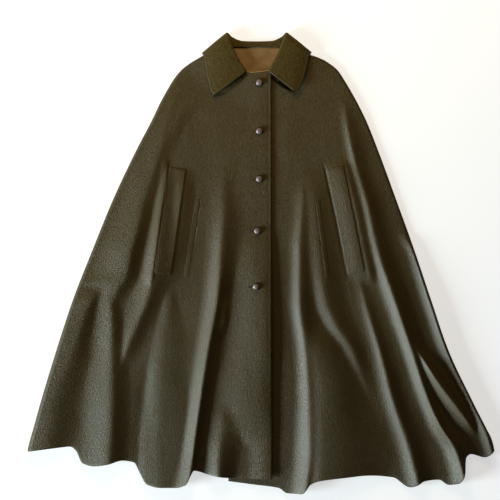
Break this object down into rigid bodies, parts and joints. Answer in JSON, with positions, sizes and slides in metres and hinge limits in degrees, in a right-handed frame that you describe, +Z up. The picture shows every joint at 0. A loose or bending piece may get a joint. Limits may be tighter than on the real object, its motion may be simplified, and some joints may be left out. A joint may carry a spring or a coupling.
{
  "type": "wool cape coat",
  "caption": "Buttoned wool cape coat with a turned-down collar, arm-slit welts and slit pockets, laid flat on its back.",
  "frame": {"origin": "on the surface it lies on, under the middle of the garment's box", "axes": "+Z up off the surface and out of the garment's front, +Y from the hem towards the collar, +X towards the wearer's left side"},
  "size_m": [1.168, 1.1524, 0.0325],
  "materials": {
    "loden": "napped olive-brown wool melange",
    "lining": "brown satin",
    "button": "polished dark horn look"
  },
  "bodies": {
    "root": {"front_right": "loden", "front_left": "loden", "back": "loden", "collar": "loden", "back_lining": "lining", "arm_welt_right": "loden", "arm_welt_left": "loden", "pocket_welt_right": "loden", "pocket_welt_left": "loden", "button_1": "button", "button_2": "button", "button_3": "button", "button_4": "button", "button_5": "button"}
  },
  "joints": []
}
